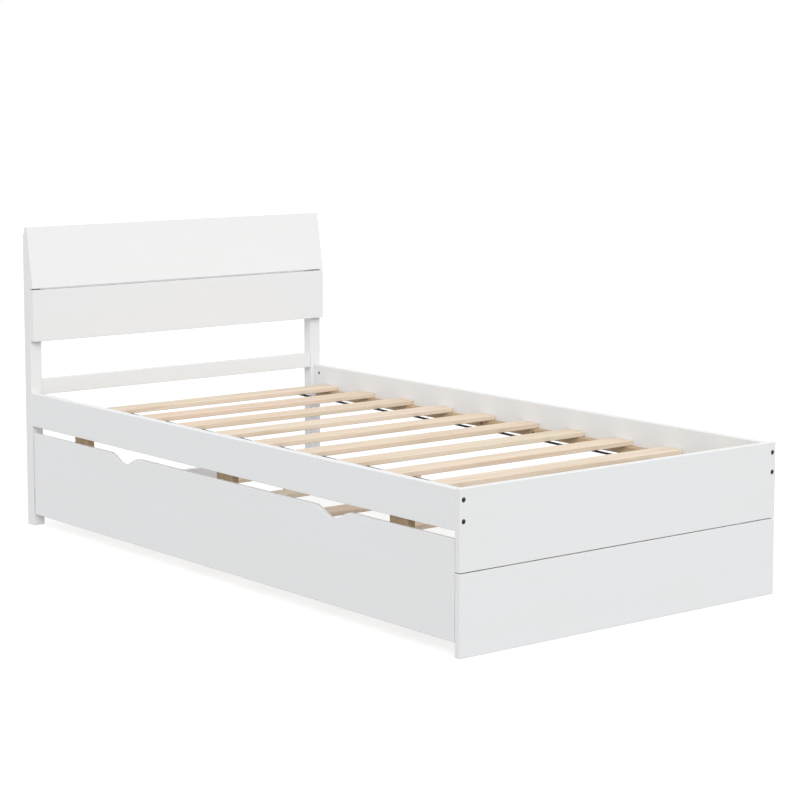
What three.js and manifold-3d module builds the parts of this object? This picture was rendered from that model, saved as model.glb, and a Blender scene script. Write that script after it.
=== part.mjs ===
// A twin-size trundle bed: painted pine frame, bare pine slats, and a roll-out lower bed.
// Millimetres. +X points to the wall side, -X to the side the trundle rolls out of,
// -Y to the foot and +Y to the head. The origin is on the floor under the bed's middle.

import * as THREE from 'three';
import { ConvexGeometry } from 'three/addons/geometries/ConvexGeometry.js';
import { mergeVertices } from 'three/addons/utils/BufferGeometryUtils.js';
import Module from 'manifold-3d';

const wasm = await Module();
wasm.setup();

// ---------------------------------------------------------------- driving dimensions

const WIDTH = 1040;
const LENGTH = 1970;
const GAP = 0.3; // kept between pieces that touch
const EASE = 1.5; // chamfer on every board edge
const HOLE_SIDES = 12; // facets of every bolt, hole and pin
const WHEEL_SIDES = 32;

const HALF_WIDTH = WIDTH / 2;
const FOOT_Y = -LENGTH / 2;
const HEAD_Y = LENGTH / 2;

const FOOT_BOARD = { thick: 18, top: 392, joint: 197, reveal: 2.2 };
const FOOT_BATTEN = { width: 60, thick: 22, low: 15, high: 330 };
const POST = { width: 36, depth: 35, top: 854, topRadius: 4 };
const RAIL = { thick: 22, low: 293, high: 390 };
const CROSS_RAIL = { thick: 22, low: 383, high: 428, setback: 2 };
const HEAD_BOARD = { thick: 18, low: 541, joint: 693, reveal: 3.8, top: 872, lean: 28.5 };

const LEDGER = { thick: 22, low: 297.5, high: 320, endGap: 36 };
const SLAT = { count: 10, width: 68, thick: 14, pitch: 188.25, first: 150, endGap: 0.6, corner: 3 };
const STRAP = { width: 20, thick: 1.2, wallSideX: 361, trundleSideX: -262 };
const STOP_BLOCK = { width: 70, thick: 21.7, low: 244, fromFoot: [250, 977, 1695] };

const BOLT = { headRadius: 5.5, headHeight: 3.5, shankRadius: 3, length: 74, sunk: 0.5, socket: 2.9 };
const BOLT_HOLE = { radius: 3.4, counterRadius: 6.1, counterDepth: 4.4, railDepth: 60 };
const BOLT_HEIGHTS = [316, 366];
const NUT_HOLE = { radius: 5, depth: 15, fromEnd: 24 };

const PANEL = { thick: 12, low: 35, high: 274, footGap: 2, headGap: 10 };
const NOTCH = { width: 150, depth: 24, steps: 14, fromFoot: [481, 1434] };
const TRUNDLE = { railThick: 18, low: 58, backHigh: 97.7, slatTop: 112, footGap: 26, wallGap: 2 };
const TRUNDLE_LEDGER = { thick: 21.7, height: 21.7 };
const TRUNDLE_SLAT = { count: 6, pitch: 290, middle: 992, endGap: 3 };

const CASTER = {
  wheelRadius: 25,
  wheelWidth: 18,
  hubRadius: 9,
  bore: 4.5,
  pinRadius: 4,
  headRadius: 7,
  headThick: 2,
};
const CASTER_PLATE = { width: 40, thick: 3, high: 98, inset: 370, side: 3 };

// Where the main planes lie, worked out from the dimensions above.
const FOOT_BACK = FOOT_Y + FOOT_BOARD.thick;
const POST_FRONT = HEAD_Y - POST.depth;
const RAIL_INNER = HALF_WIDTH - RAIL.thick;
const SLAT_LOW = LEDGER.high + GAP;
const TRUNDLE_SLAT_LOW = TRUNDLE.slatTop - SLAT.thick;
const PANEL_BACK = -HALF_WIDTH + PANEL.thick;
const TRUNDLE_FOOT = FOOT_BACK + TRUNDLE.footGap;
const TRUNDLE_HEAD = POST_FRONT - PANEL.headGap;
const TRUNDLE_WALL = HALF_WIDTH - TRUNDLE.wallGap;

// ---------------------------------------------------------------- finishes

const finish = (color, roughness, metalness) => new THREE.MeshStandardMaterial({ color, roughness, metalness });
const WHITE_PAINT = finish(0xe9eaec, 0.45, 0);
const BARE_PINE = finish(0xe6d3b4, 0.62, 0);
const BLACK_WEBBING = finish(0x1a1816, 0.9, 0);
const DARK_STEEL = finish(0x3c3c3e, 0.4, 0.9);
const ZINC_STEEL = finish(0xb4b6b8, 0.35, 0.9);
const WHEEL_PLASTIC = finish(0x2b2c2e, 0.5, 0);

// ---------------------------------------------------------------- shape helpers

const X_AXIS = new THREE.Vector3(1, 0, 0);
const Y_AXIS = new THREE.Vector3(0, 1, 0);
const Z_AXIS = new THREE.Vector3(0, 0, 1);

// Turns an outline drawn in (Y, Z) and extruded along X into place.
const SIDE_OUTLINE = new THREE.Matrix4().makeBasis(Y_AXIS, Z_AXIS, X_AXIS);

const bed = new THREE.Group();

function add(name, geometry, material, parent = bed) {
  const mesh = new THREE.Mesh(geometry, material);
  mesh.name = name;
  parent.add(mesh);
  return mesh;
}

// A box about its own centre with every edge chamfered.
function easedBox(sizeX, sizeY, sizeZ, ease = EASE) {
  const half = [sizeX / 2, sizeY / 2, sizeZ / 2];
  const points = [];
  for (const sx of [-1, 1]) {
    for (const sy of [-1, 1]) {
      for (const sz of [-1, 1]) {
        for (let full = 0; full < 3; full += 1) {
          const reach = half.map((value, axis) => (axis === full ? value : value - ease));
          points.push(new THREE.Vector3(sx * reach[0], sy * reach[1], sz * reach[2]));
        }
      }
    }
  }
  return new ConvexGeometry(points);
}

// A chamfered board that fills the stated spans.
function board(name, [x0, x1], [y0, y1], [z0, z1], material, ease = EASE) {
  const mesh = add(name, easedBox(x1 - x0, y1 - y0, z1 - z0, ease), material);
  mesh.position.set((x0 + x1) / 2, (y0 + y1) / 2, (z0 + z1) / 2);
  return mesh;
}

function toSolid(geometry) {
  const bare = geometry.clone();
  bare.deleteAttribute('normal');
  bare.deleteAttribute('uv');
  const merged = mergeVertices(bare, 1e-4);
  const mesh = new wasm.Mesh({
    numProp: 3,
    vertProperties: new Float32Array(merged.attributes.position.array),
    triVerts: new Uint32Array(merged.index.array),
  });
  return new wasm.Manifold(mesh);
}

function toGeometry(solid) {
  const mesh = solid.getMesh();
  const geometry = new THREE.BufferGeometry();
  geometry.setAttribute('position', new THREE.BufferAttribute(new Float32Array(mesh.vertProperties), 3));
  geometry.setIndex(new THREE.BufferAttribute(new Uint32Array(mesh.triVerts), 1));
  geometry.computeVertexNormals();
  return geometry;
}

// Cuts tools, given in world places, out of a mesh that is moved but not turned.
function cut(mesh, tools) {
  let solid = toSolid(mesh.geometry);
  for (const tool of tools) {
    const local = tool.clone().translate(-mesh.position.x, -mesh.position.y, -mesh.position.z);
    solid = solid.subtract(toSolid(local));
  }
  mesh.geometry = toGeometry(solid);
}

function cylinderAlongY(radius, y0, y1, x, z, sides = HOLE_SIDES) {
  const geometry = new THREE.CylinderGeometry(radius, radius, y1 - y0, sides);
  return geometry.translate(x, (y0 + y1) / 2, z);
}

function cylinderAlongX(radius, x0, x1, y, z, sides = HOLE_SIDES) {
  const geometry = new THREE.CylinderGeometry(radius, radius, x1 - x0, sides);
  return geometry.rotateZ(Math.PI / 2).translate((x0 + x1) / 2, y, z);
}

// An outline in (Y, Z) extruded along X from x0 to x1, with its end edges chamfered.
function sideProfile(outline, x0, x1, curveSegments) {
  const geometry = new THREE.ExtrudeGeometry(outline, {
    depth: x1 - x0 - 2 * EASE,
    bevelThickness: EASE,
    bevelSize: EASE,
    bevelOffset: -EASE,
    bevelSegments: 1,
    curveSegments,
  });
  return geometry.applyMatrix4(SIDE_OUTLINE).translate(x0 + EASE, 0, 0);
}

// ---------------------------------------------------------------- headboard

const LEAN_RISE = HEAD_BOARD.top - HEAD_BOARD.joint - HEAD_BOARD.reveal / 2;
const LEAN_ANGLE = Math.atan2(HEAD_BOARD.lean, LEAN_RISE);
const UPPER_LOW = HEAD_BOARD.joint + HEAD_BOARD.reveal / 2;
const BOARD_FRONT = POST_FRONT - GAP - HEAD_BOARD.thick;

// The post is upright up to the boards' joint, then its front slopes back with the upper board.
function postOutline() {
  const slope = Math.tan(LEAN_ANGLE);
  const frontAtTop = POST_FRONT + (POST.top - UPPER_LOW) * slope + 1;
  const outline = new THREE.Shape();
  outline.moveTo(POST_FRONT, 0);
  outline.lineTo(HEAD_Y, 0);
  outline.lineTo(HEAD_Y, POST.top - POST.topRadius);
  outline.absarc(HEAD_Y - POST.topRadius, POST.top - POST.topRadius, POST.topRadius, 0, Math.PI / 2, false);
  outline.lineTo(frontAtTop, POST.top);
  outline.lineTo(POST_FRONT, UPPER_LOW - 4);
  outline.closePath();
  return outline;
}

function boltHolesFromHead(x) {
  const holes = [];
  for (const z of BOLT_HEIGHTS) {
    holes.push(cylinderAlongY(BOLT_HOLE.radius, POST_FRONT - 1, HEAD_Y + 1, x, z));
    holes.push(cylinderAlongY(BOLT_HOLE.counterRadius, HEAD_Y - BOLT_HOLE.counterDepth, HEAD_Y + 1, x, z));
  }
  return holes;
}

function headboardPost(name, side) {
  const outer = side * HALF_WIDTH;
  const inner = side * (HALF_WIDTH - POST.width);
  const [x0, x1] = [Math.min(outer, inner), Math.max(outer, inner)];
  const post = add(name, sideProfile(postOutline(), x0, x1, 6), WHITE_PAINT);
  cut(post, boltHolesFromHead(side * (HALF_WIDTH - RAIL.thick / 2)));
}

function headboard() {
  headboardPost('headboard_post_trundle_side', -1);
  headboardPost('headboard_post_wall_side', 1);

  const span = [-HALF_WIDTH, HALF_WIDTH];
  const lowerTop = HEAD_BOARD.joint - HEAD_BOARD.reveal / 2;
  board('headboard_lower_board', span, [BOARD_FRONT, POST_FRONT - GAP], [HEAD_BOARD.low, lowerTop], WHITE_PAINT);

  const tall = Math.hypot(HEAD_BOARD.lean, LEAN_RISE);
  const upper = add('headboard_upper_board', easedBox(WIDTH, HEAD_BOARD.thick, tall), WHITE_PAINT);
  upper.geometry.translate(0, HEAD_BOARD.thick / 2, tall / 2);
  upper.position.set(0, BOARD_FRONT, UPPER_LOW);
  upper.rotation.x = -LEAN_ANGLE;

  const inside = HALF_WIDTH - POST.width - GAP;
  const front = POST_FRONT + CROSS_RAIL.setback;
  const spanY = [front, front + CROSS_RAIL.thick];
  board('headboard_cross_rail', [-inside, inside], spanY, [CROSS_RAIL.low, CROSS_RAIL.high], WHITE_PAINT);
}

// ---------------------------------------------------------------- footboard

function footboard() {
  const spanX = [-HALF_WIDTH, HALF_WIDTH];
  const spanY = [FOOT_Y, FOOT_BACK];
  const half = FOOT_BOARD.reveal / 2;
  board('footboard_lower_board', spanX, spanY, [0, FOOT_BOARD.joint - half], WHITE_PAINT);
  const upper = board(
    'footboard_upper_board', spanX, spanY, [FOOT_BOARD.joint + half, FOOT_BOARD.top], WHITE_PAINT);

  const holes = [];
  for (const side of [-1, 1]) {
    for (const z of BOLT_HEIGHTS) {
      const x = side * (HALF_WIDTH - RAIL.thick / 2);
      holes.push(cylinderAlongY(BOLT_HOLE.radius, FOOT_Y - 1, FOOT_BACK + 1, x, z));
      holes.push(cylinderAlongY(BOLT_HOLE.counterRadius, FOOT_Y - 1, FOOT_Y + BOLT_HOLE.counterDepth, x, z));
    }
  }
  cut(upper, holes);

  const battenY = [FOOT_BACK + GAP, FOOT_BACK + GAP + FOOT_BATTEN.thick];
  const battenZ = [FOOT_BATTEN.low, FOOT_BATTEN.high];
  const outer = RAIL_INNER - GAP;
  const inner = outer - FOOT_BATTEN.width;
  board('footboard_batten_trundle_side', [-outer, -inner], battenY, battenZ, WHITE_PAINT);
  board('footboard_batten_wall_side', [inner, outer], battenY, battenZ, WHITE_PAINT);
}

// ---------------------------------------------------------------- side rails and their bolts

function sideRail(name, side) {
  const outer = side * HALF_WIDTH;
  const inner = side * RAIL_INNER;
  const middle = (outer + inner) / 2;
  const spanX = [Math.min(outer, inner), Math.max(outer, inner)];
  const ends = [FOOT_BACK + GAP, POST_FRONT - GAP];
  const rail = board(name, spanX, ends, [RAIL.low, RAIL.high], WHITE_PAINT);

  const holes = [];
  const nutX = [inner - side, inner + side * NUT_HOLE.depth];
  for (const z of BOLT_HEIGHTS) {
    holes.push(cylinderAlongY(BOLT_HOLE.radius, ends[0] - 1, ends[0] + BOLT_HOLE.railDepth, middle, z));
    holes.push(cylinderAlongY(BOLT_HOLE.radius, ends[1] - BOLT_HOLE.railDepth, ends[1] + 1, middle, z));
    for (const y of [ends[0] + NUT_HOLE.fromEnd, ends[1] - NUT_HOLE.fromEnd]) {
      holes.push(cylinderAlongX(NUT_HOLE.radius, Math.min(...nutX), Math.max(...nutX), y, z));
    }
  }
  cut(rail, holes);
}

// A socket-head connector bolt along +Y, its head face at y = 0.
function boltGeometry() {
  const profile = [
    [0, 0],
    [BOLT.headRadius, 0],
    [BOLT.headRadius, BOLT.headHeight],
    [BOLT.shankRadius, BOLT.headHeight],
    [BOLT.shankRadius, BOLT.length],
    [0, BOLT.length],
  ].map(([radius, y]) => new THREE.Vector2(radius, y));
  const body = toSolid(new THREE.LatheGeometry(profile, HOLE_SIDES));
  const socket = toSolid(cylinderAlongY(BOLT.socket, -1, BOLT.headHeight - 1, 0, 0, 6));
  return toGeometry(body.subtract(socket));
}

function connectorBolts() {
  for (const [sideName, side] of [['trundle_side', -1], ['wall_side', 1]]) {
    const x = side * (HALF_WIDTH - RAIL.thick / 2);
    BOLT_HEIGHTS.forEach((z, row) => {
      const level = row === 0 ? 'lower' : 'upper';
      const foot = add(`foot_bolt_${sideName}_${level}`, boltGeometry(), DARK_STEEL);
      foot.position.set(x, FOOT_Y + BOLT.sunk, z);
      const head = add(`head_bolt_${sideName}_${level}`, boltGeometry(), DARK_STEEL);
      head.position.set(x, HEAD_Y - BOLT.sunk, z);
      head.rotation.z = Math.PI;
    });
  }
}

// ---------------------------------------------------------------- slats, ledgers and straps

// A flat slat along X with rounded corners, about its own middle.
function slatGeometry(length) {
  const halfLength = length / 2;
  const halfWidth = SLAT.width / 2;
  const radius = SLAT.corner;
  const outline = new THREE.Shape();
  outline.moveTo(-halfLength + radius, -halfWidth);
  outline.lineTo(halfLength - radius, -halfWidth);
  outline.absarc(halfLength - radius, -halfWidth + radius, radius, -Math.PI / 2, 0, false);
  outline.absarc(halfLength - radius, halfWidth - radius, radius, 0, Math.PI / 2, false);
  outline.absarc(-halfLength + radius, halfWidth - radius, radius, Math.PI / 2, Math.PI, false);
  outline.absarc(-halfLength + radius, -halfWidth + radius, radius, Math.PI, 1.5 * Math.PI, false);
  const geometry = new THREE.ExtrudeGeometry(outline, {
    depth: SLAT.thick - 2 * EASE,
    bevelThickness: EASE,
    bevelSize: EASE,
    bevelOffset: -EASE,
    bevelSegments: 1,
    curveSegments: 2,
  });
  return geometry.translate(0, 0, EASE);
}

function mainSlatY(index) {
  return FOOT_Y + SLAT.first + index * SLAT.pitch;
}

function mattressBase() {
  const ledgerY = [FOOT_BACK + LEDGER.endGap, POST_FRONT - LEDGER.endGap];
  const ledgerOuter = RAIL_INNER - GAP;
  const ledgerInner = RAIL_INNER - LEDGER.thick;
  const ledgerZ = [LEDGER.low, LEDGER.high];
  board('slat_ledger_trundle_side', [-ledgerOuter, -ledgerInner], ledgerY, ledgerZ, BARE_PINE);
  board('slat_ledger_wall_side', [ledgerInner, ledgerOuter], ledgerY, ledgerZ, BARE_PINE);

  const length = 2 * (RAIL_INNER - SLAT.endGap);
  for (let index = 0; index < SLAT.count; index += 1) {
    const slat = add(`slat_${index + 1}`, slatGeometry(length), BARE_PINE);
    slat.position.set(0, mainSlatY(index), SLAT_LOW);
  }

  const strapY = [mainSlatY(0) - STRAP.width / 2, mainSlatY(SLAT.count - 1) + STRAP.width / 2];
  const strapZ = [SLAT_LOW - GAP - STRAP.thick, SLAT_LOW - GAP];
  for (const [name, x] of [['trundle_side', STRAP.trundleSideX], ['wall_side', STRAP.wallSideX]]) {
    const spanX = [x - STRAP.width / 2, x + STRAP.width / 2];
    board(`slat_strap_${name}`, spanX, strapY, strapZ, BLACK_WEBBING, 0.2);
  }
}

// Blocks under the trundle-side ledger that the rolled-in front panel comes up against.
function stopBlocks() {
  const outer = -RAIL_INNER + GAP;
  STOP_BLOCK.fromFoot.forEach((fromFoot, index) => {
    const spanX = [outer, outer + STOP_BLOCK.thick];
    const spanY = [FOOT_Y + fromFoot - STOP_BLOCK.width / 2, FOOT_Y + fromFoot + STOP_BLOCK.width / 2];
    board(`trundle_stop_block_${index + 1}`, spanX, spanY, [STOP_BLOCK.low, LEDGER.low - GAP], BARE_PINE);
  });
}

// ---------------------------------------------------------------- trundle

// The front panel's outline in (Y, Z), with two scooped finger notches in its top edge.
function panelOutline() {
  const low = FOOT_BACK + PANEL.footGap;
  const high = POST_FRONT - PANEL.headGap;
  const outline = new THREE.Shape();
  outline.moveTo(low, PANEL.low);
  outline.lineTo(high, PANEL.low);
  outline.lineTo(high, PANEL.high);
  for (const fromFoot of [...NOTCH.fromFoot].reverse()) {
    const middle = FOOT_Y + fromFoot;
    for (let step = 0; step <= NOTCH.steps; step += 1) {
      const across = 1 - (2 * step) / NOTCH.steps;
      const dip = (NOTCH.depth / 2) * (1 + Math.cos(Math.PI * across));
      outline.lineTo(middle + (across * NOTCH.width) / 2, PANEL.high - dip);
    }
  }
  outline.lineTo(low, PANEL.high);
  outline.closePath();
  return outline;
}

function trundleFrame() {
  add('trundle_front_panel', sideProfile(panelOutline(), -HALF_WIDTH, PANEL_BACK, 4), WHITE_PAINT);

  const wallInner = TRUNDLE_WALL - TRUNDLE.railThick;
  const endX = [PANEL_BACK + GAP, wallInner - GAP];
  const endZ = [TRUNDLE.low, TRUNDLE.slatTop];
  const footY = [TRUNDLE_FOOT, TRUNDLE_FOOT + TRUNDLE.railThick];
  const headY = [TRUNDLE_HEAD - TRUNDLE.railThick, TRUNDLE_HEAD];
  board('trundle_foot_rail', endX, footY, endZ, WHITE_PAINT);
  board('trundle_head_rail', endX, headY, endZ, WHITE_PAINT);
  const backZ = [TRUNDLE.low, TRUNDLE.backHigh];
  board('trundle_back_rail', [wallInner, TRUNDLE_WALL], [TRUNDLE_FOOT, TRUNDLE_HEAD], backZ, WHITE_PAINT);

  const ledgerY = [footY[1] + GAP, headY[0] - GAP];
  const ledgerZ = [TRUNDLE_SLAT_LOW - GAP - TRUNDLE_LEDGER.height, TRUNDLE_SLAT_LOW - GAP];
  const frontX = [PANEL_BACK + GAP, PANEL_BACK + GAP + TRUNDLE_LEDGER.thick];
  const backX = [wallInner - GAP - TRUNDLE_LEDGER.thick, wallInner - GAP];
  board('trundle_ledger_front', frontX, ledgerY, ledgerZ, BARE_PINE);
  board('trundle_ledger_back', backX, ledgerY, ledgerZ, BARE_PINE);

  const slatX = [PANEL_BACK + TRUNDLE_SLAT.endGap, wallInner - TRUNDLE_SLAT.endGap];
  const firstFromMiddle = ((TRUNDLE_SLAT.count - 1) / 2) * TRUNDLE_SLAT.pitch;
  for (let index = 0; index < TRUNDLE_SLAT.count; index += 1) {
    const slat = add(`trundle_slat_${index + 1}`, slatGeometry(slatX[1] - slatX[0]), BARE_PINE);
    const y = FOOT_Y + TRUNDLE_SLAT.middle - firstFromMiddle + index * TRUNDLE_SLAT.pitch;
    slat.position.set((slatX[0] + slatX[1]) / 2, y, TRUNDLE_SLAT_LOW);
  }
}

// ---------------------------------------------------------------- casters

const PIN_REACH = CASTER_PLATE.thick + CASTER.wheelWidth + CASTER_PLATE.side;

// A plate against y = 0 with its axle pin along +Y at the origin's height.
function casterBracketGeometry() {
  const half = CASTER_PLATE.width / 2;
  const lowRadius = 14;
  const outline = new THREE.Shape();
  outline.absarc(0, 0, lowRadius, Math.PI, 2 * Math.PI, false);
  outline.lineTo(half, TRUNDLE.low - CASTER.wheelRadius);
  outline.lineTo(half, CASTER_PLATE.high - CASTER.wheelRadius);
  outline.lineTo(-half, CASTER_PLATE.high - CASTER.wheelRadius);
  outline.lineTo(-half, TRUNDLE.low - CASTER.wheelRadius);
  outline.closePath();
  const plate = new THREE.ExtrudeGeometry(outline, {
    depth: CASTER_PLATE.thick,
    bevelEnabled: false,
    curveSegments: 8,
  });
  plate.rotateX(Math.PI / 2).translate(0, CASTER_PLATE.thick, 0);
  const pin = cylinderAlongY(CASTER.pinRadius, 1, PIN_REACH + 1, 0, 0);
  const shoulder = cylinderAlongY(CASTER.headRadius, 1, CASTER_PLATE.thick + 1, 0, 0);
  const head = cylinderAlongY(CASTER.headRadius, PIN_REACH, PIN_REACH + CASTER.headThick, 0, 0);
  return toGeometry(toSolid(plate).add(toSolid(pin)).add(toSolid(shoulder)).add(toSolid(head)));
}

// A solid wheel about Y with a rounded tread and a bored hub.
function casterWheelGeometry() {
  const radius = CASTER.wheelRadius;
  const half = CASTER.wheelWidth / 2;
  const profile = [
    [CASTER.bore, -half],
    [CASTER.hubRadius, -half],
    [radius - 2, -half + 1],
    [radius, -half + 4],
    [radius, half - 4],
    [radius - 2, half - 1],
    [CASTER.hubRadius, half],
    [CASTER.bore, half],
    [CASTER.bore, -half],
  ].map(([r, y]) => new THREE.Vector2(r, y));
  return new THREE.LatheGeometry(profile, WHEEL_SIDES);
}

function casters() {
  const wheelFromPlate = CASTER_PLATE.thick + CASTER_PLATE.side / 2 + CASTER.wheelWidth / 2;
  const footFace = TRUNDLE_FOOT + TRUNDLE.railThick + GAP;
  const headFace = TRUNDLE_HEAD - TRUNDLE.railThick - GAP;
  for (const [endName, face, inward] of [['foot', footFace, 1], ['head', headFace, -1]]) {
    for (const [sideName, side] of [['front', -1], ['back', 1]]) {
      const x = side * CASTER_PLATE.inset;
      const bracket = add(`caster_bracket_${endName}_${sideName}`, casterBracketGeometry(), ZINC_STEEL);
      bracket.position.set(x, face, CASTER.wheelRadius);
      bracket.rotation.z = inward > 0 ? 0 : Math.PI;
      const wheel = add(`caster_wheel_${endName}_${sideName}`, casterWheelGeometry(), WHEEL_PLASTIC);
      wheel.position.set(x, face + inward * wheelFromPlate, CASTER.wheelRadius);
    }
  }
}

// ---------------------------------------------------------------- assembly

headboard();
footboard();
sideRail('side_rail_trundle_side', -1);
sideRail('side_rail_wall_side', 1);
connectorBolts();
mattressBase();
stopBlocks();
trundleFrame();
casters();

export default bed;
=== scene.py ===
"""A twin trundle bed: white painted boards, bare pine slats, webbing straps and a roll-out lower bed.

Every piece is modelled at the place of the CAD node it stands for. Metres, +Z up, the foot of the bed at -Y,
the head at +Y, the trundle rolling out towards -X.
"""

from math import atan2, cos, hypot, pi, radians, sin

import bmesh
import bpy
from mathutils import Matrix, Vector


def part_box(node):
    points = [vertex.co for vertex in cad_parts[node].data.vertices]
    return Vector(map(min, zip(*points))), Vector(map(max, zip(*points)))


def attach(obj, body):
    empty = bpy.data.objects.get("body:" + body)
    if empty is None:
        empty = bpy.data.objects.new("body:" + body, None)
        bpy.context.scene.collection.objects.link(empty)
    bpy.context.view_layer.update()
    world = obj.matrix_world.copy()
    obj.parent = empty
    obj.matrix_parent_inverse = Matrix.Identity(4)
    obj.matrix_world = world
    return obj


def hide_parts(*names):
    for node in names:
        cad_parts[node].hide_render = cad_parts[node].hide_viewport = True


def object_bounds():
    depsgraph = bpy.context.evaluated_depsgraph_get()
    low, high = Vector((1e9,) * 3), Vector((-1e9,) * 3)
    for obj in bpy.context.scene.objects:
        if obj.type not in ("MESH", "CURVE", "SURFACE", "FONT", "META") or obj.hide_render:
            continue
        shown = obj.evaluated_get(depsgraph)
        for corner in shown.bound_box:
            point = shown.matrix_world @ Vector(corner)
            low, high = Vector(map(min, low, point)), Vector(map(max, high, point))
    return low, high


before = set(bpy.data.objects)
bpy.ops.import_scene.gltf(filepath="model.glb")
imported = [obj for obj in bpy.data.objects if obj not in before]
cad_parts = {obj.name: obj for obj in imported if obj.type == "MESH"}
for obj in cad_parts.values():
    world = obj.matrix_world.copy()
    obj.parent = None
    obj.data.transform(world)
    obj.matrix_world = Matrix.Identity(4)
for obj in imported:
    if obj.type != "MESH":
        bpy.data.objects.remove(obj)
cad_low, cad_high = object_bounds()

MM = 0.001
SIDES = ("trundle_side", "wall_side")
LEVELS = ("lower", "upper")
SLAT_COUNT = 10
TRUNDLE_SLAT_COUNT = 6
STOP_BLOCK_COUNT = 3
FOOT_Y = cad_low.y

bpy.ops.object.select_all(action="DESELECT")


# ---------------------------------------------------------------- camera

CAMERA_PLACE = Vector((-3.7955, -4.8895, 1.3485))
CAMERA_YAW = radians(38.4745)
CAMERA_PITCH = radians(6.8266)
CAMERA_LENS_MM = 103.592
CAMERA_SHIFT_Y = -0.08


def make_camera():
    data = bpy.data.cameras.new("camera")
    data.sensor_width = 36
    data.lens = CAMERA_LENS_MM
    data.shift_y = CAMERA_SHIFT_Y
    camera = bpy.data.objects.new("camera", data)
    bpy.context.scene.collection.objects.link(camera)
    ahead = Vector((
        sin(CAMERA_YAW) * cos(CAMERA_PITCH),
        cos(CAMERA_YAW) * cos(CAMERA_PITCH),
        -sin(CAMERA_PITCH),
    ))
    camera.location = CAMERA_PLACE
    camera.rotation_euler = ahead.to_track_quat("-Z", "Y").to_euler()
    bpy.context.scene.camera = camera


# ---------------------------------------------------------------- material helpers

PAINT_COLOUR = (0.70, 0.706, 0.712)
RUBBED_PAINT = (0.63, 0.62, 0.595)
# Painted shade: the ledgers and stop blocks sit in shade under the slats and inside the frame, so their pine
# keeps only this share of each colour and is painted darker and browner.
PINE_SHADE_SHARE = (0.70, 0.62, 0.50)  # what the ledgers' and stop blocks' pine keeps of each colour
GRAIN_AXES = {"X": 0, "Y": 1, "Z": 2}


class Shader:
    """A material under construction: its node tree, its Principled shader and short ways to add nodes."""

    def __init__(self, name, **sockets):
        self.material = bpy.data.materials.new(name)
        self.material.use_nodes = True
        self.tree = self.material.node_tree
        self.principled = self.tree.nodes["Principled BSDF"]
        for socket, value in sockets.items():
            self.principled.inputs[socket.replace("_", " ")].default_value = value

    def add(self, kind, inputs=None, **settings):
        made = self.tree.nodes.new(kind)
        for key, value in settings.items():
            setattr(made, key, value)
        for key, value in (inputs or {}).items():
            if isinstance(value, bpy.types.NodeSocket):
                self.tree.links.new(value, made.inputs[key])
            else:
                made.inputs[key].default_value = value
        return made

    def place(self, scale=(1, 1, 1), turn=(0, 0, 0)):
        """The piece's own coordinates in metres, scaled per axis."""
        coordinates = self.add("ShaderNodeTexCoord").outputs["Object"]
        mapping = self.add("ShaderNodeMapping", {"Vector": coordinates, "Rotation": turn, "Scale": scale})
        return mapping.outputs["Vector"]

    def noise(self, vector, scale, detail=4, roughness=0.55, distortion=0.0):
        inputs = {
            "Vector": vector, "Scale": scale, "Detail": detail,
            "Roughness": roughness, "Distortion": distortion,
        }
        return self.add("ShaderNodeTexNoise", inputs).outputs["Fac"]

    def math(self, operation, first, second=0.0):
        return self.add("ShaderNodeMath", {0: first, 1: second}, operation=operation).outputs[0]

    def spread(self, value, low, high, new_low, new_high):
        """Stretches a value from one range to another, clamped."""
        inputs = {"Value": value, "From Min": low, "From Max": high, "To Min": new_low, "To Max": new_high}
        return self.add("ShaderNodeMapRange", inputs).outputs["Result"]

    def mix(self, amount, first, second):
        """Goes from the first colour to the second as the amount goes from 0 to 1."""
        made = self.add("ShaderNodeMix", data_type="RGBA")
        for key, value in ((0, amount), (6, first), (7, second)):
            if isinstance(value, bpy.types.NodeSocket):
                self.tree.links.new(value, made.inputs[key])
            else:
                made.inputs[key].default_value = value if key == 0 else (*value, 1)
        return made.outputs[2]

    def bump(self, height, distance, strength=1.0, under=None):
        inputs = {"Height": height, "Distance": distance, "Strength": strength}
        if under is not None:
            inputs["Normal"] = under
        return self.add("ShaderNodeBump", inputs).outputs["Normal"]

    def wire(self, socket, value):
        self.tree.links.new(value, self.principled.inputs[socket])

    def edge_mask(self):
        """1 where the surface turns between two flat faces of a board, 0 on the faces themselves."""
        normal = self.add("ShaderNodeTexCoord").outputs["Normal"]
        parts = self.add("ShaderNodeSeparateXYZ", {"Vector": normal}).outputs
        sizes = [self.math("ABSOLUTE", part) for part in parts]
        widest = self.math("MAXIMUM", self.math("MAXIMUM", sizes[0], sizes[1]), sizes[2])
        return self.spread(widest, 0.965, 0.86, 0, 1)


def along(axis, lengthwise, across):
    """A mapping scale that stretches a pattern along one axis."""
    scale = [across] * 3
    scale[GRAIN_AXES[axis]] = lengthwise
    return tuple(scale)


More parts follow.
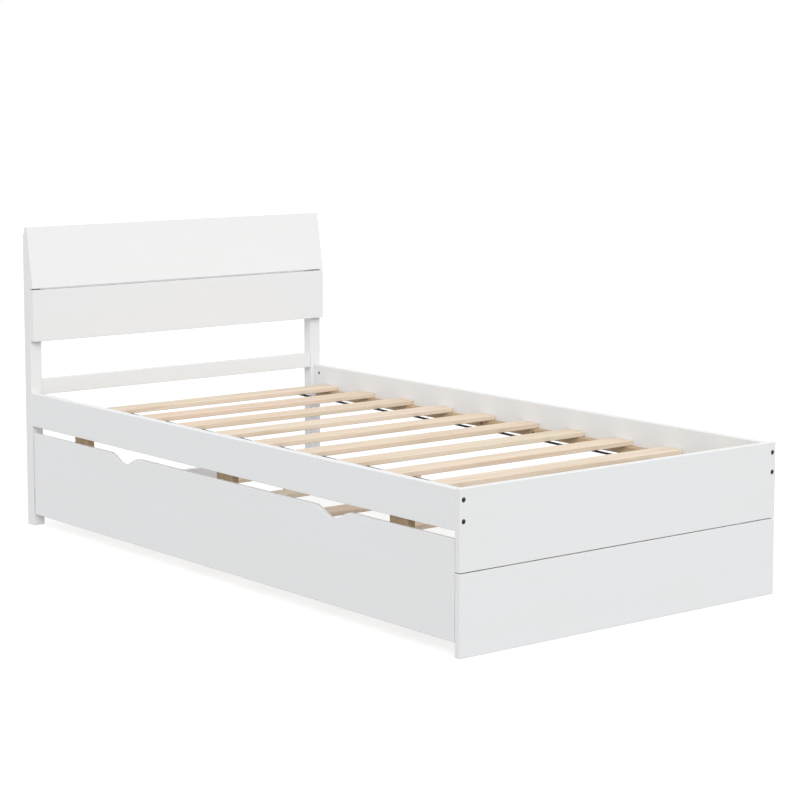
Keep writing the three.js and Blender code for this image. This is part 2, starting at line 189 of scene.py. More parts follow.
def paint_material(axis):
    """Sprayed white lacquer: faint grain and orange peel showing in the gloss, edges a little rubbed."""
    shader = Shader(f"white_paint_{axis.lower()}", Coat_Weight=0.12, Coat_Roughness=0.3, IOR=1.48)
    cloud = shader.noise(shader.place(), 3.2, detail=3)
    grain = shader.noise(shader.place(along(axis, 1.3, 34)), 1.0, detail=5, distortion=0.35)
    fibre = shader.noise(shader.place(along(axis, 22, 620)), 1.0, detail=2)
    peel = shader.noise(shader.place(), 420, detail=2)
    dust = shader.noise(shader.place(), 60, detail=5, roughness=0.7)

    warm = tuple(c * f for c, f in zip(PAINT_COLOUR, (0.99, 0.985, 0.97)))
    cool = tuple(c * f for c, f in zip(PAINT_COLOUR, (1.0, 1.004, 1.012)))
    colour = shader.mix(shader.spread(cloud, 0.35, 0.65, 0, 1), PAINT_COLOUR, cool)
    colour = shader.mix(shader.spread(grain, 0.42, 0.72, 0, 0.5), colour, warm)
    rubbed = shader.math("MULTIPLY", shader.edge_mask(), shader.spread(dust, 0.46, 0.62, 0.1, 0.75))
    colour = shader.mix(rubbed, colour, RUBBED_PAINT)
    shader.wire("Base Color", colour)
    roughness = shader.spread(cloud, 0.3, 0.7, 0.34, 0.43)
    roughness = shader.math("ADD", roughness, shader.math("MULTIPLY", rubbed, 0.2))
    shader.wire("Roughness", roughness)

    normal = shader.bump(grain, 0.00022, 0.35)
    normal = shader.bump(fibre, 0.00006, 0.35, normal)
    normal = shader.bump(peel, 0.00005, 0.5, normal)
    shader.wire("Normal", normal)
    return shader.material


def pine_material(axis, name="bare_pine", share=(1.0, 1.0, 1.0)):
    """Sanded bare pine: growth rings, darker late wood, fine fibres, small knots and a tone that drifts."""

    # share scales every colour of the wood; below 1 it paints shade into the pine.
    def wood(red, green, blue):
        return (red * share[0], green * share[1], blue * share[2])

    shader = Shader(f"{name}_{axis.lower()}", IOR=1.45, Specular_IOR_Level=0.35)
    tone = shader.noise(shader.place(along(axis, 0.2, 9.7)), 1.0, detail=1)
    hue = shader.noise(shader.place(along(axis, 0.9, 13)), 1.0, detail=2)
    figure_place = shader.place(along(axis, 0.75, 15))
    figure = shader.noise(figure_place, 1.0, detail=2.5, roughness=0.45, distortion=0.25)
    rings = shader.math("PINGPONG", shader.math("MULTIPLY", figure, 13.0), 1.0)
    late = shader.spread(rings, 0.55, 0.98, 0, 1)
    fibre = shader.noise(shader.place(along(axis, 16, 900)), 1.0, detail=3)
    pores = shader.noise(shader.place(along(axis, 60, 1700)), 1.0, detail=2)

    knot_place = shader.place(along(axis, 5.5, 9.0))
    cells = shader.add("ShaderNodeTexVoronoi", {"Vector": knot_place, "Scale": 1.0, "Randomness": 1.0})
    lot = shader.add("ShaderNodeSeparateColor", {"Color": cells.outputs["Color"]}).outputs[0]
    chosen = shader.math("GREATER_THAN", lot, 0.9)
    knot = shader.math("MULTIPLY", shader.spread(cells.outputs["Distance"], 0.085, 0.04, 0, 1), chosen)
    heart = shader.math("MULTIPLY", shader.spread(cells.outputs["Distance"], 0.045, 0.02, 0, 1), chosen)

    pale = shader.spread(tone, 0.35, 0.65, 0, 1)
    pale = shader.mix(pale, wood(0.70, 0.60, 0.485), wood(0.66, 0.545, 0.425))
    pale = shader.mix(shader.spread(hue, 0.52, 0.75, 0, 0.6), pale, wood(0.70, 0.535, 0.43))
    pale = shader.mix(shader.spread(hue, 0.48, 0.28, 0, 0.5), pale, wood(0.67, 0.62, 0.48))
    colour = shader.mix(shader.math("MULTIPLY", late, 0.5), pale, wood(0.55, 0.42, 0.30))
    colour = shader.mix(shader.spread(fibre, 0.5, 0.78, 0, 0.3), colour, wood(0.55, 0.39, 0.24))
    colour = shader.mix(shader.spread(pores, 0.66, 0.8, 0, 0.35), colour, wood(0.46, 0.31, 0.18))
    colour = shader.mix(shader.math("MULTIPLY", knot, 0.7), colour, wood(0.50, 0.29, 0.14))
    colour = shader.mix(shader.math("MULTIPLY", heart, 0.75), colour, wood(0.22, 0.11, 0.05))
    shader.wire("Base Color", colour)
    shader.wire("Roughness", shader.spread(late, 0, 1, 0.66, 0.5))

    normal = shader.bump(late, 0.0002, 0.35)
    normal = shader.bump(fibre, 0.00012, 0.5, normal)
    shader.wire("Normal", normal)
    return shader.material


def webbing_material():
    """Flat black polypropylene webbing: a plain weave of shiny tapes with dust in it."""
    shader = Shader("black_webbing", Specular_IOR_Level=0.15)
    tapes = []
    for direction, scale in (("X", 130.0), ("Y", 150.0)):
        inputs = {"Vector": shader.place(), "Scale": scale, "Distortion": 0.25, "Detail": 1.0}
        wave = shader.add("ShaderNodeTexWave", inputs, bands_direction=direction, wave_profile="SIN")
        tapes.append(wave.outputs["Fac"])
    over = shader.math("MULTIPLY", *tapes)
    lint = shader.noise(shader.place(), 700, detail=4)
    colour = shader.mix(over, (0.004, 0.004, 0.004), (0.013, 0.012, 0.012))
    colour = shader.mix(shader.spread(lint, 0.64, 0.8, 0, 0.4), colour, (0.035, 0.033, 0.03))
    shader.wire("Base Color", colour)
    shader.wire("Roughness", shader.spread(over, 0, 1, 0.9, 0.7))
    shader.wire("Normal", shader.bump(over, 0.0004, 0.8))
    return shader.material


def steel_material(name, colour, roughness, dull):
    """Plated or blacked steel with cloudy plating and fine handling scratches."""
    shader = Shader(name, Metallic=1.0)
    cloud = shader.noise(shader.place(), 160, detail=4)
    scratch = shader.noise(shader.place((90, 1500, 900), (0.4, 0.7, 0.2)), 1.0, detail=2)
    shade = shader.mix(shader.spread(cloud, 0.35, 0.7, 0, 1), colour, tuple(c * dull for c in colour))
    shade = shader.mix(shader.spread(scratch, 0.62, 0.75, 0, 0.3), shade, (0.5, 0.5, 0.5))
    shader.wire("Base Color", shade)
    shader.wire("Roughness", shader.spread(cloud, 0.3, 0.7, roughness, roughness + 0.18))
    shader.wire("Normal", shader.bump(scratch, 0.00003, 0.4))
    return shader.material


def plastic_material(name, colour, roughness):
    """Moulded nylon with a fine spark-eroded texture and scuffs."""
    shader = Shader(name, IOR=1.5)
    spark = shader.noise(shader.place(), 1500, detail=2)
    scuff = shader.noise(shader.place(), 130, detail=6, roughness=0.75)
    worn = shader.spread(scuff, 0.56, 0.72, 0, 0.5)
    paler = tuple(min(1, c * 1.9 + 0.02) for c in colour)
    shader.wire("Base Color", shader.mix(worn, colour, paler))
    shader.wire("Roughness", shader.spread(scuff, 0.35, 0.7, roughness, roughness + 0.22))
    shader.wire("Normal", shader.bump(spark, 0.00005, 0.5))
    return shader.material


PAINT = {axis: paint_material(axis) for axis in GRAIN_AXES}
PINE = {axis: pine_material(axis) for axis in GRAIN_AXES}
# Painted shade: a darker, browner copy of the pine for the ledgers and stop blocks, which sit in shade.
SHADE_DARKENED_PINE = {axis: pine_material(axis, "shade_darkened_pine", PINE_SHADE_SHARE) for axis in "YZ"}
WEBBING = webbing_material()
DARK_STEEL = steel_material("dark_steel", (0.13, 0.13, 0.14), 0.4, 0.6)
ZINC_STEEL = steel_material("zinc_steel", (0.62, 0.63, 0.65), 0.28, 0.86)
TREAD_PLASTIC = plastic_material("wheel_tread", (0.022, 0.022, 0.024), 0.5)
HUB_PLASTIC = plastic_material("wheel_hub", (0.16, 0.165, 0.17), 0.38)


# ---------------------------------------------------------------- modelling helpers

def only(piece):
    """Selects one piece and nothing else."""
    bpy.ops.object.select_all(action="DESELECT")
    piece.select_set(True)
    bpy.context.view_layer.objects.active = piece
    return piece


def settle(name):
    """Names the new primitive and puts its place into its mesh."""
    piece = bpy.context.active_object
    only(piece)
    bpy.ops.object.transform_apply(location=True, rotation=True, scale=True)
    piece.name = name
    piece.data.name = name
    return piece


def block(name, low, high, turn=(0, 0, 0)):
    """A blank cut to size between two corners, then turned about its own middle."""
    low, high = Vector(low), Vector(high)
    bpy.ops.object.select_all(action="DESELECT")
    bpy.ops.mesh.primitive_cube_add(size=1, location=(low + high) / 2, scale=high - low, rotation=turn)
    return settle(name)


def rod(name, start, end, radius, sides=40):
    """A round bar from start to end."""
    start, end = Vector(start), Vector(end)
    turn = (end - start).to_track_quat("Z", "Y").to_euler()
    bpy.ops.object.select_all(action="DESELECT")
    bpy.ops.mesh.primitive_cylinder_add(
        vertices=sides, radius=radius, depth=(end - start).length, location=(start + end) / 2, rotation=turn)
    return settle(name)


def turned(name, profile, sides=32, bored=False):
    """A part turned about Z from (height, radius) steps in mm. A bored one ends on its first ring."""
    rings = [(height * MM, radius * MM) for height, radius in profile]
    height, radius = rings[0]
    bpy.ops.object.select_all(action="DESELECT")
    bpy.ops.mesh.primitive_circle_add(
        vertices=sides, radius=radius, fill_type="NOTHING" if bored else "NGON", location=(0, 0, height))
    piece = settle(name)
    bpy.ops.object.mode_set(mode="EDIT")
    bpy.ops.mesh.select_mode(type="EDGE" if bored else "FACE")
    bpy.ops.mesh.select_all(action="SELECT")
    for new_height, new_radius in rings[1:]:
        rise = {"value": (0, 0, new_height - height)}
        bpy.ops.mesh.extrude_region_move(TRANSFORM_OT_translate=rise)
        grow = new_radius / radius
        bpy.ops.transform.resize(value=(grow, grow, 1), center_override=(0, 0, new_height))
        height, radius = new_height, new_radius
    bpy.ops.mesh.select_all(action="SELECT")
    if bored:
        bpy.ops.mesh.remove_doubles(threshold=0.01 * MM)
    bpy.ops.mesh.normals_make_consistent(inside=False)
    bpy.ops.object.mode_set(mode="OBJECT")
    return piece


def shape(piece, kind, wanted, *steps):
    """Edit mode: selects the vertices, edges or faces that pass a test, then runs each step on them."""
    only(piece)
    bpy.ops.object.mode_set(mode="EDIT")
    bpy.ops.mesh.select_mode(type=kind)
    bpy.ops.mesh.select_all(action="DESELECT")
    mesh = bmesh.from_edit_mesh(piece.data)
    parts = {"VERT": mesh.verts, "EDGE": mesh.edges, "FACE": mesh.faces}[kind]
    for part in parts:
        if wanted(part):
            part.select_set(True)
    mesh.select_flush_mode()
    bmesh.update_edit_mesh(piece.data)
    for step in steps:
        step()
    bpy.ops.object.mode_set(mode="OBJECT")
    return piece


def move(x=0, y=0, z=0):
    return lambda: bpy.ops.transform.translate(value=(x, y, z))


def round_off(offset, segments):
    return lambda: bpy.ops.mesh.bevel(offset=offset, segments=segments, affect="EDGES", clamp_overlap=True)


def runs_along(edge, axis):
    direction = (edge.verts[1].co - edge.verts[0].co).normalized()
    return abs(direction[GRAIN_AXES[axis]]) > 0.999


def is_sharp(edge):
    return edge.is_manifold and edge.calc_face_angle() > radians(50)


def modify(piece, kind, **settings):
    """Adds a modifier and applies it."""
    only(piece)
    bpy.ops.object.modifier_add(type=kind)
    modifier = piece.modifiers[-1]
    for key, value in settings.items():
        setattr(modifier, key, value)
    bpy.ops.object.modifier_apply(modifier=modifier.name)
    return piece


def polish(piece):
    """Smooth shading on curves, flat shading on flats."""
    only(piece)
    bpy.ops.object.shade_smooth_by_angle(angle=radians(40))
    return modify(piece, "WEIGHTED_NORMAL", keep_sharp=True, weight=60)


def ease(piece, width=2.2 * MM, segments=3):
    """Rounds over every sharp edge."""
    modify(piece, "BEVEL", width=width, segments=segments, limit_method="ANGLE", angle_limit=radians(35))
    return polish(piece)


def cut_away(piece, cutters, rim=0.3 * MM):
    """Takes cutters out of a rounded-over piece, breaks the fresh sharp rims and removes the cutters."""
    for cutter in cutters:
        modify(piece, "BOOLEAN", operation="DIFFERENCE", object=cutter, solver="EXACT")
        bpy.data.objects.remove(cutter, do_unlink=True)
    if cutters and rim:
        shape(piece, "EDGE", is_sharp, round_off(rim, 2))
    return polish(piece)


def slice_across(piece, axis, places):
    """Cuts loops across a blank at the given places along an axis, keeping both halves."""
    normal = Vector((0, 0, 0))
    normal[GRAIN_AXES[axis]] = 1
    for place in places:
        cut = {"plane_co": normal * place, "plane_no": normal}
        shape(piece, "FACE", lambda face: True, lambda cut=cut: bpy.ops.mesh.bisect(**cut))
    return piece


def copy_of(piece, name, matrix):
    """A copy with its own mesh, put in place by a matrix that goes into the mesh."""
    twin = piece.copy()
    twin.data = piece.data.copy()
    twin.name = name
    twin.data.name = name
    bpy.context.scene.collection.objects.link(twin)
    twin.data.transform(matrix)
    return twin


def join(name, pieces):
    """Joins pieces into one object."""
    bpy.ops.object.select_all(action="DESELECT")
    for piece in pieces:
        piece.select_set(True)
    bpy.context.view_layer.objects.active = pieces[0]
    bpy.ops.object.join()
    joined = bpy.context.active_object
    joined.name = name
    joined.data.name = name
    return joined


def discard(*patterns):
    """Removes the patterns that copies were made from."""
    for pattern in patterns:
        bpy.data.objects.remove(pattern, do_unlink=True)


def fit_out(piece, material, slot, body, *nodes):
    """Gives a piece its finish and its body, and hides the CAD nodes that it stands for."""
    piece.data.materials.clear()
    piece.data.materials.append(material)
    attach(piece, body)
    if nodes:
        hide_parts(*nodes)
    return piece


# ---------------------------------------------------------------- screws

SCREW_RADIUS = 3.9 * MM
SCREW_SUNK = 0.5 * MM
SCREW_POCKET = 1.6 * MM


def cross_recess(radius, depth):
    """Cutters for the two crossed slots in the top of a screw head."""
    slots = []
    half_width = 0.22 * radius
    for turn in (0, pi / 2):
        slot = block("recess", (-radius, -half_width, -depth), (radius, half_width, 0.6 * MM))
        slot.data.transform(Matrix.Rotation(turn, 4, "Z"))
        slots.append(slot)
    return slots


def countersunk_pattern():
    """A flat screw head, its face at z = 0 and its cone below."""
    profile = [(-2.6, 1.7), (-0.5, 3.75), (-0.15, 3.9), (0, 3.7)]
    head = turned("countersunk_pattern", profile, 28)
    return cut_away(head, cross_recess(2.2 * MM, 1.5 * MM), rim=0)


def pan_pattern():
    """A domed screw head, its seat at z = 0."""
    profile = [(-2, 1.6), (0, 1.6), (0, 4), (0.9, 3.9), (1.7, 3.3), (2.2, 2.1), (2.35, 0.8)]
    head = turned("pan_pattern", profile, 28)
    return cut_away(head, cross_recess(2.0 * MM, 0.2 * MM), rim=0)


def facing(place, outward, turn=0.0):
    """The matrix that puts a pattern at a place with its top facing outward."""
    aim = Vector(outward).to_track_quat("Z", "Y").to_matrix().to_4x4()
    return Matrix.Translation(Vector(place)) @ aim @ Matrix.Rotation(turn, 4, "Z")


def drive(pattern, name, places, outward, material, slot, body, sunk=SCREW_SUNK):
    """Drives a row of screws, each turned a little differently, as one object."""
    outward = Vector(outward)
    screws = []
    for index, place in enumerate(places):
        matrix = facing(Vector(place) - outward * sunk, outward, turn=0.37 + 1.91 * index)
        screws.append(copy_of(pattern, f"{name}_{index}", matrix))
    return fit_out(join(name, screws), material, slot, body)


def pockets(places, outward, radius=SCREW_RADIUS + 0.35 * MM, depth=SCREW_POCKET):
    """Cutters for the pockets that countersunk screws sit in."""
    outward = Vector(outward)
    return [rod("pocket", Vector(place) - outward * depth, Vector(place) + outward * MM, radius, 28)
            for place in places]


# ---------------------------------------------------------------- painted frame

PAINTED_EDGE = 1.4 * MM
LEAN_BACK = 28.5 * MM
LEAN_RISE = 177.1 * MM
LEAN_ANGLE = atan2(LEAN_BACK, LEAN_RISE)
UPPER_BOARD_THICK = 18 * MM
POST_KINK = 690.9 * MM
POST_TOP_DEPTH = 8.4 * MM
POST_TOP_ROUND = 4 * MM
POST_SCREW_HEIGHTS = (572, 660, 728, 826)
BATTEN_SCREWS = ((-14, 62), (14, 150), (-14, 232), (14, 296))  # sideways from the middle, and height

BOLT_CLEARANCE = 3.4 * MM
COUNTERBORE_RADIUS = 6.1 * MM
COUNTERBORE_DEPTH = 4.4 * MM
BOLT_BORE_DEPTH = 60 * MM
NUT_BORE_RADIUS = 5 * MM
NUT_BORE_DEPTH = 15 * MM
NUT_FROM_END = 24 * MM


def painted_board(node, axis, body, cutters=(), round_over=PAINTED_EDGE):
    """A painted board where its CAD node lies, with its edges rounded over."""
    low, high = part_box(node)
    board = ease(block(f"{node}_painted", low, high), round_over)
    if cutters:
        cut_away(board, cutters)
    return fit_out(board, PAINT[axis], "white_paint", body, node)


def bolt_axis(end, side, level):
    """Where a connector bolt's middle line runs: (x, z)."""
    low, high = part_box(f"{end}_bolt_{side}_{level}")
    return (low.x + high.x) / 2, (low.z + high.z) / 2


def counterbored_holes(end, side, front, back):
    """Cutters for bolts that go in at front, where their heads are let in, and come out at back."""
    inward = 1 if back > front else -1
    start = front - inward * MM
    through = back + inward * MM
    seat = front + inward * COUNTERBORE_DEPTH
    cutters = []
    for level in LEVELS:
        x, z = bolt_axis(end, side, level)
        cutters.append(rod("clearance", (x, start, z), (x, through, z), BOLT_CLEARANCE))
        cutters.append(rod("counterbore", (x, start, z), (x, seat, z), COUNTERBORE_RADIUS))
    return cutters


def make_upper_headboard():
    """The upper board leans back, so its blank is turned about its middle."""
    node = "headboard_upper_board"
    low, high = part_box(node)
    tall = hypot(LEAN_BACK, LEAN_RISE)
    half = Vector((high.x - low.x, UPPER_BOARD_THICK, tall)) / 2
    middle = (low + high) / 2
    board = block(f"{node}_painted", middle - half, middle + half, turn=(-LEAN_ANGLE, 0, 0))
    ease(board, PAINTED_EDGE)
    fit_out(board, PAINT["X"], "white_paint", "bed", node)


def make_post(side, countersunk):
    """An upright post: straight to the joint of the boards, its front then sloping back."""
    node = f"headboard_post_{side}"
    low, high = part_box(node)
    post = block(f"{node}_painted", low, high)
    slice_across(post, "Z", [POST_KINK])
    set_back = (high.y - POST_TOP_DEPTH) - low.y
    shape(post, "VERT", lambda v: v.co.z > high.z - MM and v.co.y < low.y + MM, move(y=set_back))

    def is_top_back_edge(edge):
        at_corner = all(v.co.z > high.z - MM and v.co.y > high.y - MM for v in edge.verts)
        return runs_along(edge, "X") and at_corner

    shape(post, "EDGE", is_top_back_edge, round_off(POST_TOP_ROUND, 5))
    ease(post, PAINTED_EDGE)
    middle = (low.x + high.x) / 2
    places = [(middle, high.y, height * MM) for height in POST_SCREW_HEIGHTS]
    cut_away(post, counterbored_holes("head", side, high.y, low.y) + pockets(places, (0, 1, 0)))
    fit_out(post, PAINT["Z"], "white_paint", "bed", node)
    drive(countersunk, f"{node}_screws", places, (0, 1, 0), ZINC_STEEL, "zinc_steel", "bed")


def make_rail(side):
    """A side rail, bored at its ends for bolts and in its inner face for the barrel nuts."""
    node = f"side_rail_{side}"
    low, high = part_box(node)
    inner, deeper = (high.x, -1) if side == "trundle_side" else (low.x, 1)
    cutters = []
    for end, face, inward in (("foot", low.y, 1), ("head", high.y, -1)):
        for level in LEVELS:
            x, z = bolt_axis(end, side, level)
            start = (x, face - inward * MM, z)
            cutters.append(rod("bolt_bore", start, (x, face + inward * BOLT_BORE_DEPTH, z), BOLT_CLEARANCE))
            y = face + inward * NUT_FROM_END
            start = (inner - deeper * MM, y, z)
            cutters.append(rod("nut_bore", start, (inner + deeper * NUT_BORE_DEPTH, y, z), NUT_BORE_RADIUS))
    painted_board(node, "Y", "bed", cutters)


NUT_SUNK = 0.8 * MM
NUT_HOLE_DOWN = 10.2 * MM


def barrel_nut_pattern():
    """A slotted barrel nut about Z, its slotted face at z = 0 and its threaded hole across it."""
    profile = [(-13.6, 4.3), (-13.3, 4.7), (-0.5, 4.7), (-0.1, 4.5), (0, 4.1)]
    nut = turned("barrel_nut_pattern", profile, 32)
    cross = rod("cross_hole", (0, -6 * MM, -NUT_HOLE_DOWN), (0, 6 * MM, -NUT_HOLE_DOWN), 3.1 * MM, 28)
    slot = block("slot", (-6 * MM, -0.6 * MM, -1.3 * MM), (6 * MM, 0.6 * MM, MM))
    return cut_away(nut, [cross, slot], rim=0.12 * MM)


def make_barrel_nuts():
    pattern = barrel_nut_pattern()
    for side in SIDES:
        low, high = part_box(f"side_rail_{side}")
        inner, outward = (high.x, 1) if side == "trundle_side" else (low.x, -1)
        for end, y in (("foot", low.y + NUT_FROM_END), ("head", high.y - NUT_FROM_END)):
            for level in LEVELS:
                z = bolt_axis(end, side, level)[1]
                matrix = facing((inner - outward * NUT_SUNK, y, z), (outward, 0, 0))
                nut = copy_of(pattern, f"barrel_nut_{end}_{side}_{level}", matrix)
                fit_out(nut, DARK_STEEL, "dark_steel", "bed")
    discard(pattern)


def bolt_pattern():
    """A socket-head connector bolt about Z, its head face at z = 0 and its threaded shank below."""
    profile = [(0, 4.9), (-0.35, 5.35), (-0.8, 5.5), (-3.3, 5.5), (-3.5, 5.3), (-3.5, 3.05), (-38, 3.0)]
    thread_pitch = 1.25
    thread_end = -72
    turn = -38.6
    while turn > thread_end:
        profile += [(turn, 2.62), (turn - 0.25, 2.62), (turn - 0.6, 2.98), (turn - 0.8, 2.98)]
        turn -= thread_pitch
    profile += [(-73.4, 2.6), (-74, 2.0)]
    bolt = turned("bolt_pattern", profile, 32)
    socket = rod("hex_key", (0, 0, -2.6 * MM), (0, 0, MM), 2.9 * MM, 6)
    return cut_away(bolt, [socket], rim=0)


def make_bolts():
    pattern = bolt_pattern()
    for end, outward in (("foot", -1), ("head", 1)):
        for side in SIDES:
            for turn, level in enumerate(LEVELS):
                node = f"{end}_bolt_{side}_{level}"
                low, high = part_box(node)
                face = low.y if end == "foot" else high.y
                x, z = bolt_axis(end, side, level)
                matrix = facing((x, face, z), (0, outward, 0), turn=0.2 + 0.45 * turn)
                bolt = copy_of(pattern, f"{node}_turned", matrix)
                fit_out(bolt, DARK_STEEL, "dark_steel", "bed", node)
    discard(pattern)


def make_batten(side, countersunk):
    """A batten that ties the two footboard boards together, screwed from inside."""
    node = f"footboard_batten_{side}"
    low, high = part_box(node)
    middle = (low.x + high.x) / 2
    places = [(middle + sideways * MM, high.y, height * MM) for sideways, height in BATTEN_SCREWS]
    painted_board(node, "Z", "bed", pockets(places, (0, 1, 0)))
    drive(countersunk, f"{node}_screws", places, (0, 1, 0), ZINC_STEEL, "zinc_steel", "bed")


# ---------------------------------------------------------------- slats and what they rest on

LEDGER_SCREWS_FROM_FOOT = [197 + 224 * step for step in range(8)]
SANDED_EDGE = 1.6 * MM
SLAT_CORNER = 3 * MM
STRAP_SAG = 0.9 * MM
STRAP_STEPS = 6
STAPLE_OFFSET = 5 * MM
SCREW_PAIR = (-18, 18)


def make_ledger(side, countersunk):
    """A bare pine ledger screwed to the inside of a rail."""
    node = f"slat_ledger_{side}"
    low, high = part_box(node)
    face, outward = (high.x, 1) if side == "trundle_side" else (low.x, -1)
    height = (low.z + high.z) / 2
    places = [(face, FOOT_Y + along_rail * MM, height) for along_rail in LEDGER_SCREWS_FROM_FOOT]
    ledger = ease(block(f"{node}_sanded", low, high), SANDED_EDGE)
    cut_away(ledger, pockets(places, (outward, 0, 0)))
    # The ledger gets the pine with painted shade in it, darker and browner than the slats.
    fit_out(ledger, SHADE_DARKENED_PINE["Y"], "bare_pine", "bed", node)
    drive(countersunk, f"{node}_screws", places, (outward, 0, 0), DARK_STEEL, "dark_steel", "bed")


def slat_pattern(node):
    """A flat slat with its corners rounded in plan and its edges eased."""
    low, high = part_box(node)
    slat = block("slat_pattern", low, high)
    shape(slat, "EDGE", lambda edge: runs_along(edge, "Z"), round_off(SLAT_CORNER, 4))
    return ease(slat, 2.2 * MM, 3)


def make_slats():
    pattern = slat_pattern("slat_1")
    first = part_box("slat_1")[0]
    for number in range(1, SLAT_COUNT + 1):
        node = f"slat_{number}"
        matrix = Matrix.Translation(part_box(node)[0] - first)
        fit_out(copy_of(pattern, f"{node}_sanded", matrix), PINE["X"], "bare_pine", "bed", node)
    discard(pattern)


def staple_pattern():
    """The crown of a wire staple, flat on the strap's underside and lying along Y."""
    staple = block("staple_pattern", (-0.6 * MM, -5.2 * MM, -0.55 * MM), (0.6 * MM, 5.2 * MM, 0.3 * MM))
    return ease(staple, 0.28 * MM, 2)


def make_strap(side, staple):
    """A webbing strap under the slats, stapled to each one and hanging a little between them."""
    node = f"slat_strap_{side}"
    low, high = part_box(node)
    strap = block(f"{node}_woven", low, high)
    slats = [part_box(f"slat_{number}") for number in range(1, SLAT_COUNT + 1)]
    for near, far in zip(slats, slats[1:]):
        start, end = near[1].y, far[0].y
        places = [start + (end - start) * step / STRAP_STEPS for step in range(STRAP_STEPS + 1)]
        slice_across(strap, "Y", places)
        for step in range(1, STRAP_STEPS):
            place = places[step]
            drop = -STRAP_SAG * sin(pi * step / STRAP_STEPS)
            shape(strap, "VERT", lambda v: abs(v.co.y - place) < 0.1 * MM, move(z=drop))
    ease(strap, 0.35 * MM, 2)
    fit_out(strap, WEBBING, "black_webbing", "bed", node)

    staples = []
    for number, (slat_low, slat_high) in enumerate(slats, 1):
        for offset in (-STAPLE_OFFSET, STAPLE_OFFSET):
            place = ((low.x + high.x) / 2 + offset, (slat_low.y + slat_high.y) / 2, low.z)
            staples.append(copy_of(staple, f"staple_{number}", Matrix.Translation(place)))
    fit_out(join(f"{node}_staples", staples), ZINC_STEEL, "zinc_steel", "bed")


def make_stop_block(number, countersunk):
    """A pine block that the rolled-in trundle comes up against."""
    node = f"trundle_stop_block_{number}"
    low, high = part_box(node)
    middle = (low + high) / 2
    places = [(high.x, middle.y + offset * MM, middle.z) for offset in SCREW_PAIR]
    stop = ease(block(f"{node}_sanded", low, high), SANDED_EDGE)
    cut_away(stop, pockets(places, (1, 0, 0)))
    # The stop block gets the pine with painted shade in it, darker and browner than the slats.
    fit_out(stop, SHADE_DARKENED_PINE["Z"], "bare_pine", "bed", node)
    drive(countersunk, f"{node}_screws", places, (1, 0, 0), DARK_STEEL, "dark_steel", "bed")


# ---------------------------------------------------------------- trundle

NOTCH_WIDTH = 150 * MM
NOTCH_DEPTH = 24 * MM
NOTCH_FROM_FOOT = (481 * MM, 1434 * MM)
NOTCH_STEPS = 24
BACK_RAIL_SCREW_HEIGHTS = (68, 88)
TRUNDLE_LEDGER_SCREWS = 7
SLAT_SCREW_FROM_END = 14 * MM


def make_front_panel():
    """The trundle's front, with two finger notches scooped out of its top edge."""
    node = "trundle_front_panel"
    low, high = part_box(node)
    panel = block(f"{node}_painted", low, high)
    for from_foot in NOTCH_FROM_FOOT:
        middle = FOOT_Y + from_foot
        places = [middle + NOTCH_WIDTH * (step / NOTCH_STEPS - 0.5) for step in range(NOTCH_STEPS + 1)]
        slice_across(panel, "Y", places)
        for step in range(1, NOTCH_STEPS):
            place = places[step]
            dip = NOTCH_DEPTH * (1 - cos(2 * pi * step / NOTCH_STEPS)) / 2
            shape(panel, "VERT",
                  lambda v: abs(v.co.y - place) < 0.1 * MM and v.co.z > high.z - MM, move(z=-dip))
    ease(panel, PAINTED_EDGE)
    fit_out(panel, PAINT["Y"], "white_paint", "trundle", node)


def make_trundle_rails(countersunk):
    painted_board("trundle_foot_rail", "X", "trundle")
    painted_board("trundle_head_rail", "X", "trundle")
    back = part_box("trundle_back_rail")[1].x
    places = []
    for end in ("foot", "head"):
        end_low, end_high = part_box(f"trundle_{end}_rail")
        middle = (end_low.y + end_high.y) / 2
        places += [(back, middle, height * MM) for height in BACK_RAIL_SCREW_HEIGHTS]
    painted_board("trundle_back_rail", "Y", "trundle", pockets(places, (1, 0, 0)))
    drive(countersunk, "trundle_back_rail_screws", places, (1, 0, 0), ZINC_STEEL, "zinc_steel", "trundle")


def make_trundle_ledgers(countersunk):
    for row, outward in (("front", 1), ("back", -1)):
        node = f"trundle_ledger_{row}"
        low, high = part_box(node)
        face = high.x if outward > 0 else low.x
        height = (low.z + high.z) / 2
        places = []
        for step in range(TRUNDLE_LEDGER_SCREWS):
            y = low.y + (high.y - low.y) * (step + 0.5) / TRUNDLE_LEDGER_SCREWS
            places.append((face, y, height))
        ledger = ease(block(f"{node}_sanded", low, high), SANDED_EDGE)
        cut_away(ledger, pockets(places, (outward, 0, 0)))
        fit_out(ledger, PINE["Y"], "bare_pine", "trundle", node)
        drive(countersunk, f"{node}_screws", places, (outward, 0, 0), DARK_STEEL, "dark_steel", "trundle")


def make_trundle_slats(countersunk):
    """Each slat is screwed down twice at either end."""
    low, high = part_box("trundle_slat_1")
    middle = (low.y + high.y) / 2
    ends = (low.x + SLAT_SCREW_FROM_END, high.x - SLAT_SCREW_FROM_END)
    places = [Vector((x, middle + offset * MM, high.z)) for x in ends for offset in SCREW_PAIR]
    pattern = slat_pattern("trundle_slat_1")
    cut_away(pattern, pockets(places, (0, 0, 1)))
    for number in range(1, TRUNDLE_SLAT_COUNT + 1):
        node = f"trundle_slat_{number}"
        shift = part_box(node)[0] - low
        slat = copy_of(pattern, f"{node}_sanded", Matrix.Translation(shift))
        fit_out(slat, PINE["X"], "bare_pine", "trundle", node)
        moved = [place + shift for place in places]
        drive(countersunk, f"{node}_screws", moved, (0, 0, 1), DARK_STEEL, "dark_steel", "trundle")
    discard(pattern)


# ---------------------------------------------------------------- casters

PLATE_FOOT_RADIUS = 14 * MM
PLATE_THICK = 3 * MM
PLATE_HALF_WIDTH = 20 * MM
PLATE_TOP = 98 * MM
PLATE_SHOULDER = 58 * MM
AXLE_HEIGHT = 25 * MM
HUB_RIBS = 8


